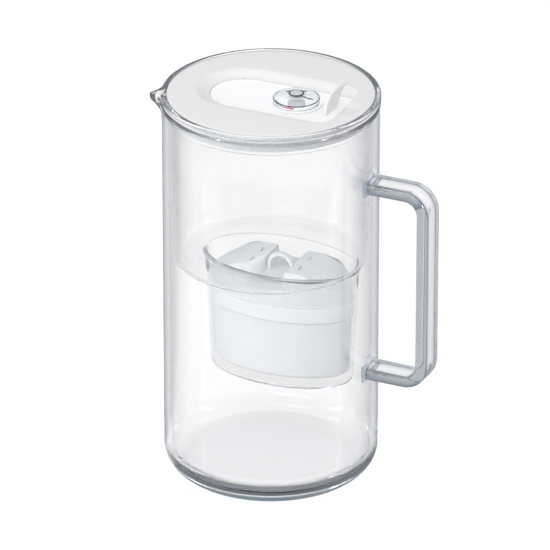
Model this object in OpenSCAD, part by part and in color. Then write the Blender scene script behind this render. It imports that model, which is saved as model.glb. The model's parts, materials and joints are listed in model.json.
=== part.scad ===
// Clear water filter pitcher with a hanging funnel, an oval cartridge and a flip lid.
// Millimetres. The origin is the centre of the base, +Z is up and +X points to the handle.

/* [Jug] */
// Height of the rim above the table
jug_h = 250.7; // [235:0.1:265]
// Outside radius of the straight wall
jug_r = 66; // [64:0.5:70]
// Thickness of the straight wall
wall_t = 3.6; // [3:0.1:4.4]
// Thickness of the floor at the axis
floor_t = 9; // [6:0.5:14]
// Outside radius of the rounded base corner
base_round = 15.7; // [12:0.1:18]
// Inside radius of the floor corner
floor_round = 12; // [8:0.5:14]
// Height of the thickened rim band
rim_h = 6; // [5.6:0.1:7]
// How far the rim band stands proud of the wall
rim_proud = 0.8; // [0.4:0.1:1.5]
// Width of the ledge inside the rim that carries the funnel
ledge_w = 1.2; // [1:0.1:1.6]

/* [Spout] */
// Angle of the spout, counted from the handle
spout_turn = 204; // [190:1:230]
// Reach of the spout tip beyond the wall
spout_reach = 7.5; // [5:0.5:10]
// Half width of the spout where it leaves the wall
spout_half_w = 11; // [9:0.5:13]
// Height of the spout below the rim
spout_h = 14; // [10:1:20]
// Height of the spout at its tip
spout_tip_h = 5; // [4:0.5:7]
// Thickness of the spout wall
spout_t = 2.4; // [2:0.1:3]

/* [Handle] */
// Height of the handle's underside above the table
handle_z = 74.5; // [60:0.5:90]
// Height of the handle from its underside to its top
handle_h = 131.7; // [110:0.1:140]
// Distance from the jug wall to the outer face of the grip
handle_reach = 42.2; // [36:0.1:50]
// Width of the handle bar
handle_w = 17; // [14:0.5:19]
// Thickness of the upper and lower arms
arm_t = 7.1; // [6:0.1:9]
// Thickness of the upright grip
grip_t = 7.7; // [6:0.1:9]
// Outside radius of the handle corners
handle_round = 16; // [12:0.5:20]
// Width of the pads that bond the handle to the wall
pad_w = 20; // [19.5:0.5:24]
// Height of each bonding pad
pad_h = 11; // [10:0.5:14]
// Thickness of each bonding pad
pad_t = 1.4; // [1:0.1:2]

/* [Funnel] */
// Thickness of the funnel's flange
flange_t = 1.4; // [1:0.1:1.8]
// Height of the thick collar below the flange
collar_h = 7; // [5:0.5:10]
// How far the funnel wall steps in below the collar
collar_step = 1.1; // [0.6:0.1:1.6]
// Wall thickness of the funnel and its well
funnel_t = 1.6; // [1.2:0.1:2]
// Depth of the funnel from the rim ledge to its underside
funnel_depth = 102.7; // [90:0.1:110]
// Draft of the funnel wall over its whole depth
funnel_draft = 2; // [1:0.1:3]
// Outside radius of the funnel's lower corner
funnel_round = 5; // [4:0.5:8]

/* [Well] */
// Distance of the well from the jug axis, towards the handle
well_x = 7; // [4:0.5:7.5]
// Depth of the well below the funnel's underside
well_depth = 76; // [70:1:84]
// Half length of the well's outside at its top
well_a = 49.8; // [47:0.1:50]
// Half length of the well's outside at its bottom
well_a_low = 46.5; // [42:0.1:47]
// Half width of the well's outside at its top
well_b = 29.6; // [27:0.1:33]
// Half width of the well's outside at its bottom
well_b_low = 26.6; // [24:0.1:27]
// Radius of the outlet in the well's bottom
outlet_r = 9; // [6:0.5:12]

/* [Cartridge] */
// Height of the cartridge's bottom above the well's floor
cart_lift = 5.5; // [3:0.5:7]
// Height of the cartridge body below its collar
cart_body_h = 38.5; // [34:0.5:41]
// Height of the cartridge's collar
cart_collar_h = 10; // [8:0.5:12]
// Height of the cap from the collar to the top of its humps
cart_cap_h = 20; // [18:0.5:22]
// Wall thickness of the cartridge body and cap
cart_t = 1.5; // [1.2:0.1:2]
// Gap between the cartridge and the well
cart_gap = 1; // [0.7:0.1:1.5]
// Distance from the cartridge's centre to the middle of each hump
hump_x = 16; // [15:0.5:18]
// Height of the humps above the valley between them
hump_h = 8; // [6:0.5:9]
// Height of the pull arch above the valley
pull_h = 12; // [10:0.5:13]
// Thickness of the pull arch along the cartridge's width
pull_t = 4; // [3:0.5:5]
// Thickness of the pull arch's bar
pull_bar = 2.2; // [2:0.1:3]

/* [Lid] */
// How far the lid's top lies below the rim
lid_sink = 0.4; // [0.2:0.1:0.6]
// Thickness of the lid's top plate
lid_t = 1.7; // [1.5:0.1:2]
// Height of the skirt below the lid's edge
skirt_h = 8; // [6:0.5:10]
// Thickness of the skirt
skirt_t = 1.6; // [1.2:0.1:2]
// Depth of the dish in the lid
dish_depth = 3.4; // [3:0.1:3.8]
// Width of the dish's sloping sides
dish_slope = 9.4; // [8:0.1:10.5]
// Depth of the finger scoop behind the tab
scoop_depth = 2.4; // [2:0.1:2.6]
// Radius of the finger scoop at the lid's surface
scoop_r = 7.5; // [6.5:0.5:8]

/* [Flap] */
// Half width of the flap
flap_r = 20.6; // [20:0.1:21.5]
// Centre of the flap's round end, from the jug axis
flap_round_x = -18; // [-20:0.5:-16]
// Straight end of the flap, from the jug axis
flap_end_x = 46.5; // [46:0.1:48]
// Radius of the flap's corners at its straight end
flap_corner = 3; // [2:0.5:3.5]
// Thickness of the flap
flap_t = 2; // [1.6:0.1:2.2]
// Hinge line, from the jug axis
hinge_x = -27; // [-28:0.5:-26]
// Radius of the hinge pin
pin_r = 0.55; // [0.5:0.05:0.6]
// Depth of the hinge pin's axis below the flap's top
pin_depth = 0.95; // [0.9:0.05:1]
// Height of the tab's tip above the lid
tab_h = 10; // [8:0.5:12]
// Radius of the round body of the tab
tab_r = 14.2; // [13.5:0.1:14.2]
// Thickness of the tab
tab_t = 2.2; // [1.8:0.1:2.6]

/* [Indicator] */
// Centre of the indicator, from the jug axis
dial_x = 17; // [15:0.5:19]
// Turn of the indicator's face from the handle line
dial_turn = 25; // [0:1:90]
// Outside radius of the clear window
window_r = 14.2; // [13.8:0.1:14.6]
// Height of the clear window above its flange
window_h = 3.2; // [2.8:0.1:3.6]
// Thickness of the clear window
window_t = 1; // [0.8:0.1:1.2]
// Radius of the housing's flange on the flap
housing_flange_r = 15.9; // [15.6:0.1:16.5]
// Depth of the housing below the flap's top
housing_depth = 8; // [7.8:0.1:9]
// Radius of the push button
button_r = 3.75; // [3.4:0.05:4]
// Travel of the push button
button_travel = 0.5; // [0.3:0.05:0.6]
// Width of the ring round the push button
ring_w = 0.8; // [0.6:0.05:1]
// Distance of the button from the indicator's centre
button_off = 6.4; // [6:0.1:7]
// Distance of the display from the indicator's centre
display_off = 5.6; // [5.4:0.1:6]
// Width of the display
display_w = 10.4; // [9:0.1:11]
// Length of the display
display_l = 9.8; // [9:0.1:10.5]
// Radius of the coin cell
cell_r = 10; // [8:0.5:11]
// Thickness of the coin cell
cell_t = 2.5; // [2:0.1:2.6]

/* [Hidden] */
$fn = 72;

// Clearances: between bodies, between glued or clipped pieces, and round the hinge pin
seat_gap = 0.3;
close_gap = 0.1;
pin_gap = 0.05;
eps = 0.01;

// Jug levels
jug_in = jug_r - wall_t;
rim_in = jug_in + ledge_w;
rim_out = jug_r + rim_proud;
ledge_z = jug_h - rim_h;
rim_round = 1.2;
spout_tip_r = 1.6;

// Funnel levels
flange_z = ledge_z + seat_gap;
flange_r = rim_in - seat_gap;
collar_r = jug_in - seat_gap;
funnel_r = collar_r - collar_step;
funnel_in = collar_r - collar_step - funnel_t;
funnel_z = ledge_z - funnel_depth;
funnel_r_low = funnel_r - funnel_draft;
well_z = funnel_z - well_depth;
pour_notch = 2 * spout_half_w;

// Well's outside half axes at a height above its bottom
function well_a_at(h) = well_a_low + (well_a - well_a_low) * h / well_depth;
function well_b_at(h) = well_b_low + (well_b - well_b_low) * h / well_depth;
// Cartridge half axes: what the well leaves at that height
cart_side = funnel_t + cart_gap;
cart_z = funnel_t + cart_lift;
collar_h0 = cart_z + cart_body_h;
cap_h0 = collar_h0 + cart_collar_h;
cap_top = cap_h0 + cart_cap_h;
cap_side = cart_side + 0.6;
cap_edge_h = 7;
outlet_mesh_r = outlet_r + 2;
mesh_t = 1.2;
mesh_inset = 4;
slot_w = 1.1;
slot_l = 6;
slot_pitch = 14;
// Half width of a hump's flat top, and how far its inner side leans
hump_flat = 6;
hump_lean = 1;
pull_r = hump_x - hump_flat - hump_lean - 2 * close_gap;

// Lid levels
lid_z = jug_h - lid_sink;
lid_r = rim_in - seat_gap;
lid_low = flange_z + flange_t + seat_gap;
seal_w = 1.1;
skirt_play = 0.4;
skirt_r = funnel_in - skirt_play;
// Inner radius of the lid's thick edge, and the radius the lid's frame keeps within
edge_in = skirt_r + close_gap;
frame_r = skirt_r - skirt_t - close_gap;
frame_t = 1.5;
flap_top = lid_z - dish_depth;
flap_low = flap_top - flap_t;
ledge_top = flap_low - seat_gap;
frame_low = ledge_top - frame_t;
flap_ledge = 2.1;
flap_side_gap = 0.35;
dish_end = 2.5;
hinge_z = flap_top - pin_depth;
hinge_half = sqrt(pow(flap_r, 2) - pow(hinge_x - flap_round_x, 2));
pin_half = hinge_half + flap_side_gap + 2.6;
// Extra room beside the flap at the hinge, and how far it runs along the flap each way
hinge_room = 0.7;
hinge_room_l = 1.6;
scoop_x = flap_end_x + 5;
scoop_ball = (pow(scoop_r, 2) + pow(scoop_depth, 2)) / (2 * scoop_depth);
tab_x = flap_end_x - 5.3;
tab_root = 0.5;
// Shape of the tab seen along the handle line: its round body, its tip and the hollow below the tip
tab_body_y = -5.5;
tab_body_z = -2;
tab_side = 1.1;
tab_hollow_y = 4;
tab_hollow_z = 15;
tab_tip_t = 0.8;
tab_plan_r = 60;

// Indicator levels
housing_t = 1.2;
housing_r = window_r;
housing_low = flap_top - housing_depth;
housing_flange_t = 0.5;
face_z = flap_top + housing_flange_t;
window_z = face_z + close_gap;
window_top = window_z + window_h;
dial_r = window_r - window_t - close_gap;
dial_t = 0.8;
dial_top = window_z + dial_t;
button_gap = 0.15;
ring_in = button_r + button_gap;
ring_r = ring_in + ring_w;
ring_low = window_top - window_t - 2 * close_gap;
cell_z = housing_low + housing_t + close_gap;
board_t = 0.8;
board_z = cell_z + cell_t + close_gap;
display_t = 0.8;
display_corner = 3;
pointer_l = 6.5;
pointer_w = 0.6;
pointer_turn = -32;
arc_w = 1.2;
arc_t = 0.9;
// Ends of the scale and of the marker, in the indicator's own frame
scale_from = 186;
scale_to = 238;
marker_from = 239;
marker_to = 262;
switch_w = 4;
switch_t = 0.8;
button_proud = 0.3;
button_lip = 0.5;
button_lip_t = 0.4;
lip_z = ring_low - close_gap - button_lip_t;
stem_r = 1.3;
stem_z = board_z + board_t + switch_t + button_travel + close_gap;

// Outline and form helpers

module oval(a, b) {
    polygon([for (i = [0:71]) [a * cos(5 * i), b * sin(5 * i)]]);
}

// A tapered oval block: half axes a1, b1 at the bottom and a2, b2 at the top
module oval_block(a1, b1, a2, b2, h) {
    linear_extrude(height = h, scale = [a2 / a1, b2 / b1], slices = 1) oval(a1, b1);
}

// Follows the well's taper between two heights above the well's bottom, moved in by side
module well_form(h1, h2, side) {
    translate([well_x, 0, well_z + h1])
        oval_block(well_a_at(h1) - side, well_b_at(h1) - side,
                   well_a_at(h2) - side, well_b_at(h2) - side, h2 - h1);
}

// Rounded rectangle that starts at the origin's side and ends at x, from z1 to z2
module round_end(x, z1, z2, r) {
    translate([0, z1]) square([x - r, z2 - z1]);
    translate([0, z1 + r]) square([x, z2 - z1 - 2 * r]);
    translate([x - r, z1 + r]) circle(r);
    translate([x - r, z2 - r]) circle(r);
}

// The flap's outline: a round end at the spout side and a square end at the handle side
module flap_plan(side, end) {
    half = flap_r + side;
    corner = flap_corner + max(side, -flap_corner + 1);
    right = flap_end_x + end;
    translate([flap_round_x, 0]) circle(half);
    translate([flap_round_x, -half]) square([right - corner - flap_round_x, 2 * half]);
    translate([flap_round_x, -half + corner]) square([right - flap_round_x, 2 * (half - corner)]);
    for (s = [-1, 1])
        translate([right - corner, s * (half - corner)]) circle(corner);
}

module ring(r_out, r_in, h) {
    difference() {
        cylinder(r = r_out, h = h);
        translate([0, 0, -eps]) cylinder(r = r_in, h = h + 2 * eps);
    }
}

// The indicator's own frame: +Y points away from the reader
module on_dial(z) {
    translate([dial_x, 0, z]) rotate(dial_turn) children();
}

// Jug

module jug_section() {
    difference() {
        union() {
            translate([0, base_round]) square([jug_r, ledge_z - base_round + 2 * eps]);
            square([jug_r - base_round, base_round + eps]);
            translate([jug_r - base_round, base_round]) circle(base_round);
            round_end(rim_out, ledge_z, jug_h, rim_round);
        }
        translate([-jug_r, -eps]) square([jug_r, jug_h + 1]);
        translate([-eps, floor_t + floor_round]) square([jug_in + eps, jug_h]);
        translate([-eps, floor_t]) square([jug_in - floor_round + eps, floor_round + eps]);
        translate([jug_in - floor_round, floor_t + floor_round]) circle(floor_round);
        translate([-eps, ledge_z]) square([rim_in + eps, rim_h + 1]);
    }
}

// The spout's beak, drawn in by the given wall
module spout_form(inset, top) {
    root_x = jug_r - spout_half_w - 1;
    tip_r = inset == 0 ? spout_tip_r : spout_tip_r - 0.6;
    hull() {
        translate([root_x, 0, jug_h - spout_h + inset])
            cylinder(r = spout_half_w - inset, h = spout_h - inset + top, $fn = 32);
        translate([jug_r + spout_reach - spout_tip_r - inset, 0, jug_h - spout_tip_h + inset])
            cylinder(r = tip_r, h = spout_tip_h - inset + top, $fn = 32);
    }
}

module jug_body() {
    color([0.86, 0.9, 0.93, 0.4])
        difference() {
            union() {
                rotate_extrude($fn = 144) jug_section();
                rotate(spout_turn)
                    difference() {
                        spout_form(0, 0);
                        translate([0, 0, -1]) cylinder(r = jug_in + 1, h = jug_h + 2, $fn = 144);
                    }
            }
            rotate(spout_turn) spout_form(spout_t, 1);
        }
}

module handle_outline() {
    inner_round = max(handle_round - grip_t, 2);
    reach = jug_r + handle_reach;
    difference() {
        round_end(reach, handle_z, handle_z + handle_h, handle_round);
        round_end(reach - grip_t, handle_z + arm_t, handle_z + handle_h - arm_t, inner_round);
    }
}

module handle() {
    color([0.84, 0.88, 0.91, 0.5])
        difference() {
            rotate([90, 0, 0]) linear_extrude(height = handle_w, center = true) handle_outline();
            cylinder(r = jug_r + pad_t + 2 * close_gap, h = jug_h, $fn = 144);
        }
}

module handle_pad(z) {
    translate([0, 0, z])
        intersection() {
            ring(jug_r + close_gap + pad_t, jug_r + close_gap, pad_h);
            translate([0, -pad_w / 2, 0]) cube([jug_r + handle_reach, pad_w, pad_h]);
        }
}

module upper_handle_pad() {
    color([0.66, 0.7, 0.74, 0.8]) handle_pad(handle_z + handle_h - arm_t / 2 - pad_h / 2);
}

module lower_handle_pad() {
    color([0.66, 0.7, 0.74, 0.8]) handle_pad(handle_z + arm_t / 2 - pad_h / 2);
}

// Funnel

module funnel_section() {
    low_in = funnel_r_low - funnel_t;
    in_round = max(funnel_round - funnel_t, 1);
    difference() {
        union() {
            translate([0, flange_z]) square([flange_r, flange_t]);
            translate([0, ledge_z - collar_h]) square([collar_r, collar_h + seat_gap + eps]);
            polygon([[0, funnel_z + funnel_round], [funnel_r_low, funnel_z + funnel_round],
                     [funnel_r, ledge_z - collar_h + eps], [0, ledge_z - collar_h + eps]]);
            translate([0, funnel_z]) square([funnel_r_low - funnel_round, funnel_round + eps]);
            translate([funnel_r_low - funnel_round, funnel_z + funnel_round]) circle(funnel_round);
        }
        translate([-jug_r, 0]) square([jug_r, jug_h + 1]);
        polygon([[-eps, funnel_z + funnel_t + in_round], [low_in, funnel_z + funnel_t + in_round],
                 [funnel_in, ledge_z - collar_h], [funnel_in, jug_h], [-eps, jug_h]]);
        translate([-eps, funnel_z + funnel_t]) square([low_in - in_round + eps, in_round + eps]);
        translate([low_in - in_round, funnel_z + funnel_t + in_round]) circle(in_round);
    }
}

module funnel() {
    color([0.88, 0.92, 0.95, 0.4])
        difference() {
            union() {
                rotate_extrude($fn = 144) funnel_section();
                well_form(0, well_depth + funnel_t - eps, 0);
            }
            // The well's hollow and its outlet
            well_form(funnel_t, well_depth + funnel_t + 1, funnel_t);
            translate([well_x, 0, well_z - 1]) cylinder(r = outlet_r, h = funnel_t + 2);
            // Water leaves under the lid through this notch to the spout
            rotate(spout_turn)
                translate([funnel_r + eps, -pour_notch / 2, ledge_z - collar_h - 1])
                    cube([jug_r, pour_notch, collar_h + 10]);
        }
}

// Cartridge

module cartridge_shell() {
    color("white")
        difference() {
            well_form(cart_z, collar_h0 - close_gap, cart_side);
            well_form(cart_z + cart_t, collar_h0 + 1, cart_side + cart_t);
            translate([well_x, 0, well_z]) cylinder(r = outlet_r, h = collar_h0 - 1 - cart_t);
        }
}

module cartridge_seal() {
    color("white")
        difference() {
            well_form(collar_h0, cap_h0, funnel_t + seat_gap);
            well_form(collar_h0 - 1, cap_h0 + 1, cart_side + cart_t);
        }
}

// Side view of the cap's top: outer slopes, two humps and the valley that holds the pull arch
module cap_profile(inset) {
    top = cart_cap_h - inset;
    valley = cart_cap_h - hump_h - inset;
    flat = hump_flat - inset;
    edge = cap_edge_h - inset;
    reach = well_a;
    // The right half, from the valley to the edge, and its mirror image
    half = [[hump_x - flat - hump_lean, valley], [hump_x - flat, top], [hump_x + flat, top], [reach, edge],
            [reach, -2]];
    polygon(concat(half, [for (i = [len(half) - 1:-1:0]) [-half[i][0], half[i][1]]]));
}

module cap_block(side, inset, low) {
    intersection() {
        well_form(cap_h0 + low, cap_top + 2, side);
        translate([well_x, well_b, well_z + cap_h0])
            rotate([90, 0, 0]) linear_extrude(height = 2 * well_b) cap_profile(inset);
    }
}

module cartridge_cap() {
    color("white")
        difference() {
            cap_block(cap_side, 0, close_gap);
            cap_block(cap_side + cart_t, cart_t, -1);
            for (hump = [-hump_x, hump_x], row = [-slot_pitch / 2, slot_pitch / 2])
                translate([well_x + hump - slot_w / 2, row - slot_l / 2, well_z + cap_top - cart_t - 1])
                    cube([slot_w, slot_l, cart_t + 2]);
        }
}

module cartridge_pull() {
    foot = well_z + cap_top - hump_h + close_gap;
    leg = pull_h - pull_r;
    in_r = pull_r - pull_bar;
    color("whitesmoke")
        translate([well_x, pull_t / 2, foot])
            rotate([90, 0, 0])
                linear_extrude(height = pull_t)
                    difference() {
                        union() {
                            intersection() {
                                translate([0, leg]) circle(pull_r);
                                translate([-pull_r, 0]) square([2 * pull_r, pull_h]);
                            }
                            translate([-pull_r, 0]) square([2 * pull_r, leg]);
                        }
                        translate([0, leg]) circle(in_r);
                        translate([-in_r, -eps]) square([2 * in_r, leg + eps]);
                    }
}

module cartridge_inlet_mesh() {
    color("gainsboro") well_form(cap_h0 - mesh_inset, cap_h0 - mesh_inset + mesh_t, cart_side + cart_t + close_gap);
}

module cartridge_granules() {
    color("dimgray")
        well_form(cart_z + cart_t + mesh_t + 2 * close_gap, cap_h0 - mesh_inset - close_gap,
                  cart_side + cart_t + close_gap);
}

module cartridge_outlet_mesh() {
    color("gainsboro")
        translate([well_x, 0, well_z + cart_z + cart_t + close_gap]) cylinder(r = outlet_mesh_r, h = mesh_t);
}

// Lid

// The dish: a soft S-shaped slope from the lid's top down to the flap's outline
module dish_cut() {
    steps = 4;
    for (i = [0:steps - 1])
        hull()
            for (t = [i / steps, (i + 1) / steps])
                translate([0, 0, flap_top + dish_depth * (1 - cos(180 * t)) / 2])
                    linear_extrude(height = t == 1 ? 1 : eps)
                        flap_plan(flap_side_gap + dish_slope * t, flap_side_gap + dish_end * t);
}

module lid_cover() {
    plate_z = lid_z - lid_t;
    color("white")
        difference() {
            union() {
                translate([0, 0, plate_z]) cylinder(r = lid_r, h = lid_t, $fn = 144);
                translate([0, 0, lid_low]) ring(lid_r - seal_w, edge_in, lid_z - lid_low);
                translate([0, 0, frame_low])
                    linear_extrude(height = plate_z - frame_low + eps)
                        intersection() {
                            union() {
                                flap_plan(dish_slope, dish_end + 1);
                                translate([scoop_x, 0]) circle(scoop_r + 0.5);
                            }
                            circle(frame_r, $fn = 144);
                        }
            }
            dish_cut();
            // Seat and opening of the flap
            translate([0, 0, ledge_top])
                linear_extrude(height = flap_t + dish_depth) flap_plan(flap_side_gap, flap_side_gap);
            translate([0, 0, frame_low - 1])
                linear_extrude(height = flap_t + dish_depth) flap_plan(-flap_ledge, -flap_ledge);
            // The flap's short tail swings down past the hinge here
            translate([0, 0, frame_low - 1])
                linear_extrude(height = flap_t + dish_depth)
                    intersection() {
                        flap_plan(flap_side_gap, flap_side_gap);
                        translate([flap_round_x - 2 * flap_r, -flap_r])
                            square([2 * flap_r + hinge_x - flap_round_x + 3, 2 * flap_r]);
                    }
            // The flap's edge turns through this room beside the hinge
            translate([0, 0, frame_low - 1])
                linear_extrude(height = flap_t + dish_depth)
                    intersection() {
                        flap_plan(flap_side_gap + hinge_room, flap_side_gap);
                        translate([hinge_x - hinge_room_l, -2 * flap_r]) square([2 * hinge_room_l, 4 * flap_r]);
                    }
            // Finger scoop behind the tab
            translate([scoop_x, 0, lid_z + scoop_ball - scoop_depth]) sphere(r = scoop_ball);
            // Blind bores that hold the hinge pin
            translate([hinge_x, 0, hinge_z])
                rotate([90, 0, 0])
                    cylinder(r = pin_r + pin_gap, h = 2 * (pin_half + close_gap), center = true);
            // The edge stops short of the spout's channel
            rotate(spout_turn)
                translate([edge_in - 1, -pour_notch / 2, lid_low - 1])
                    cube([lid_r - edge_in + 2, pour_notch, plate_z - lid_low + 1 - eps]);
        }
}

module lid_skirt() {
    color("whitesmoke")
        translate([0, 0, lid_low - skirt_h])
            ring(skirt_r, skirt_r - skirt_t, skirt_h + lid_z - lid_t - lid_low - close_gap);
}

module lid_seal() {
    seal_z = lid_low + close_gap;
    seal_top = lid_z - lid_t - close_gap;
    ribs = 3;
    pitch = (seal_top - seal_z) / ribs;
    seal_in = lid_r - seal_w + close_gap;
    color("gainsboro")
        difference() {
            union() {
                translate([0, 0, seal_z]) ring(lid_r - 0.4, seal_in, seal_top - seal_z);
                for (i = [0:ribs - 1])
                    translate([0, 0, seal_z + pitch * (i + 0.25)]) ring(lid_r, lid_r - 0.6, pitch / 2);
            }
            rotate(spout_turn)
                translate([edge_in, -pour_notch / 2 - close_gap, seal_z - 1])
                    cube([lid_r - edge_in + 1, pour_notch + 2 * close_gap, seal_top - seal_z + 2]);
        }
}

module hinge_pin() {
    color("silver")
        translate([hinge_x, 0, hinge_z])
            rotate([90, 0, 0])
                cylinder(r = pin_r, h = 2 * pin_half, center = true);
}

// Flap

// The tab seen along the handle line: a round body that sweeps up to a point on the far side
module tab_outline() {
    tip_y = flap_r - tab_side;
    body = [tab_body_y, tab_body_z];
    hollow_r = sqrt(pow(tab_hollow_y, 2) + pow(tab_hollow_z, 2)) - tab_tip_t;
    difference() {
        union() {
            translate(body) circle(tab_r);
            polygon([body, body + [0, tab_r - eps], [tip_y, tab_h], body + [tab_r, 0]]);
        }
        translate([tip_y - tab_hollow_y, tab_h - tab_hollow_z]) circle(hollow_r);
        translate([-2 * flap_r, -dish_depth - tab_root - 2 * tab_r]) square([4 * flap_r, 2 * tab_r]);
    }
}

module tab() {
    intersection() {
        translate([tab_x - tab_t, 0, lid_z])
            rotate([90, 0, 90]) linear_extrude(height = 5 * tab_t) tab_outline();
        translate([tab_x + tab_plan_r, 0, flap_low])
            ring(tab_plan_r + tab_t / 2, tab_plan_r - tab_t / 2, 3 * tab_h, $fn = 144);
    }
}

module fill_flap() {
    color("white")
        difference() {
            union() {
                translate([0, 0, flap_low]) linear_extrude(height = flap_t) flap_plan(0, 0);
                tab();
            }
            translate([hinge_x, 0, hinge_z])
                rotate([90, 0, 0]) cylinder(r = pin_r + pin_gap, h = 3 * flap_r, center = true);
            translate([dial_x, 0, flap_low - 1]) cylinder(r = housing_r + close_gap, h = flap_t + 2);
        }
}

// Indicator

module indicator_housing() {
    color("white")
        translate([dial_x, 0, 0])
            difference() {
                union() {
                    translate([0, 0, housing_low]) cylinder(r = housing_r, h = housing_depth + housing_flange_t);
                    translate([0, 0, flap_top]) cylinder(r = housing_flange_r, h = housing_flange_t);
                }
                translate([0, 0, housing_low + housing_t])
                    cylinder(r = housing_r - housing_t, h = housing_depth + 2);
            }
}

module indicator_window() {
    color([0.9, 0.93, 0.96, 0.4])
        on_dial(window_z)
            difference() {
                cylinder(r = window_r, h = window_h);
                translate([0, 0, -eps]) cylinder(r = window_r - window_t, h = window_h - window_t);
                translate([0, button_off, 0]) cylinder(r = ring_r + close_gap, h = window_h + 1);
            }
}

module indicator_dial() {
    color("white")
        on_dial(window_z)
            difference() {
                cylinder(r = dial_r, h = dial_t);
                translate([0, button_off, -1]) cylinder(r = stem_r + 2 * close_gap, h = dial_t + 2);
            }
}

module indicator_display() {
    flat_w = display_w - 2 * display_corner;
    flat_l = display_l - 2 * display_corner;
    color([0.75, 0.77, 0.79])
        on_dial(dial_top)
            translate([0, -display_off, 0])
                linear_extrude(height = display_t) {
                    square([display_w, flat_l], center = true);
                    square([flat_w, display_l], center = true);
                    for (sx = [-1, 1], sy = [-1, 1])
                        translate([sx * flat_w / 2, sy * flat_l / 2]) circle(display_corner);
                }
}

module indicator_ring() {
    color([0.15, 0.16, 0.18])
        on_dial(ring_low)
            translate([0, button_off, 0]) ring(ring_r, ring_in, window_top + close_gap - ring_low);
}

module indicator_pointer() {
    color([0.15, 0.16, 0.18])
        on_dial(dial_top)
            translate([ring_r * 0.9, button_off - ring_r * 0.5, 0])
                rotate(pointer_turn) cube([pointer_l, pointer_w, display_t / 2]);
}

// A part of the scale ring, between two angles in the indicator's own frame
module scale_arc(from, to) {
    on_dial(dial_top)
        difference() {
            ring(dial_r - 2 * close_gap, dial_r - 2 * close_gap - arc_w, arc_t);
            for (cut = [[to, 180], [from - 180, 180]])
                rotate(cut[0]) translate([-2 * dial_r, 0, -1]) cube([4 * dial_r, 2 * dial_r, 4]);
        }
}

module indicator_scale() {
    color([0.62, 0.68, 0.73]) scale_arc(scale_from, scale_to);
}

module indicator_marker() {
    color([0.75, 0.3, 0.45]) scale_arc(marker_from, marker_to);
}

module indicator_board() {
    color([0.1, 0.35, 0.2])
        on_dial(board_z) cylinder(r = housing_r - housing_t - close_gap, h = board_t);
}

module indicator_switch() {
    color("silver")
        on_dial(board_z + board_t)
            translate([0, button_off, 0]) {
                translate([-switch_w / 2, -switch_w / 2, 0]) cube([switch_w, switch_w, switch_t / 2]);
                cylinder(r = stem_r, h = switch_t);
            }
}

module indicator_cell() {
    color("silver") on_dial(cell_z) cylinder(r = cell_r, h = cell_t);
}

module indicator_button() {
    color([0.78, 0.8, 0.83])
        on_dial(0)
            translate([0, button_off, 0]) {
                translate([0, 0, lip_z]) cylinder(r = button_r, h = window_top + button_proud - lip_z);
                translate([0, 0, lip_z]) cylinder(r = button_r + button_lip, h = button_lip_t);
                translate([0, 0, stem_z]) cylinder(r = stem_r, h = window_top - stem_z);
            }
}

jug_body();
handle();
upper_handle_pad();
lower_handle_pad();
funnel();
cartridge_shell();
cartridge_cap();
cartridge_seal();
cartridge_pull();
cartridge_inlet_mesh();
cartridge_granules();
cartridge_outlet_mesh();
lid_cover();
lid_skirt();
lid_seal();
hinge_pin();
fill_flap();
indicator_housing();
indicator_window();
indicator_dial();
indicator_display();
indicator_ring();
indicator_pointer();
indicator_scale();
indicator_marker();
indicator_board();
indicator_switch();
indicator_cell();
indicator_button();
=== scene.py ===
"""Looks of the water filter pitcher: glass jug, clear funnel, white cartridge and white flip lid."""

import json
import math

import bmesh
import bpy
from mathutils import Matrix, Vector

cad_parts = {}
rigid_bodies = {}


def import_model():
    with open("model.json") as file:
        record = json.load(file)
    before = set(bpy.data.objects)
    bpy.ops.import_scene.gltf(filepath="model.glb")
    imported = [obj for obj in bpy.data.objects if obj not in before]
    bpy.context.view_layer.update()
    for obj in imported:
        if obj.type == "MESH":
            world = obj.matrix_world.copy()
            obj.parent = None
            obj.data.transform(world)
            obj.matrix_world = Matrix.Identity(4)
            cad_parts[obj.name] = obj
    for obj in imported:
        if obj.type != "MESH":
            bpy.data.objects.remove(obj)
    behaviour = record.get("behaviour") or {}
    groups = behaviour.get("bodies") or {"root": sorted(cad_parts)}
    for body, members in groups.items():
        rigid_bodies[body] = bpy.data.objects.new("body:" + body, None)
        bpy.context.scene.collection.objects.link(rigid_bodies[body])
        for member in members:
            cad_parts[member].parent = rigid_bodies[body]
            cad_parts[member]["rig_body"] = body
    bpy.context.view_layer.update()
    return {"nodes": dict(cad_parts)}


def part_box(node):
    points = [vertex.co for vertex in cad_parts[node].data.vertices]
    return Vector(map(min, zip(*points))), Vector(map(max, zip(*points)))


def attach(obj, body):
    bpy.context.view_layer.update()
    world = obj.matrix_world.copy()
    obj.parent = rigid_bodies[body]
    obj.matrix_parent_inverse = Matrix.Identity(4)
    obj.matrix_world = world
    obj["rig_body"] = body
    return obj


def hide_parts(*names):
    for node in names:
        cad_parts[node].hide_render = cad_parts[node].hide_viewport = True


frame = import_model()
cad = frame["nodes"]
MM = 0.001

# Sizes in millimetres from the part's source, with a rim a hair narrower and the flap's shallow dish
JUG_H, JUG_R, JUG_IN = 250.7, 66.0, 62.4
RIM_IN, RIM_OUT, LEDGE_Z = 63.6, 66.78, 244.7
SPOUT_TURN = 204.0
FUNNEL_Z, FUNNEL_WALL = 142.0, 1.6
WELL_X, WELL_Z, WELL_DEPTH = 7.0, 66.0, 76.0
WELL_A, WELL_B, FLARE_A, FLARE_B = 46.5, 26.6, 3.3, 3.0
FLAP_R, FLAP_X, FLAP_END, HINGE_X = 20.6, -18.0, 46.5, -27.0
LID_Z, LID_R, FLAP_TOP, FLAP_DISH = 250.3, 63.3, 246.9, 0.28
DIAL_X = 17.0

# Node helpers


def shader(name):
    """A new material and its nodes, with the Principled BSDF ready."""
    material = bpy.data.materials.new(name)
    material.use_nodes = True
    tree = material.node_tree
    return material, tree, tree.nodes["Principled BSDF"]


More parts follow.
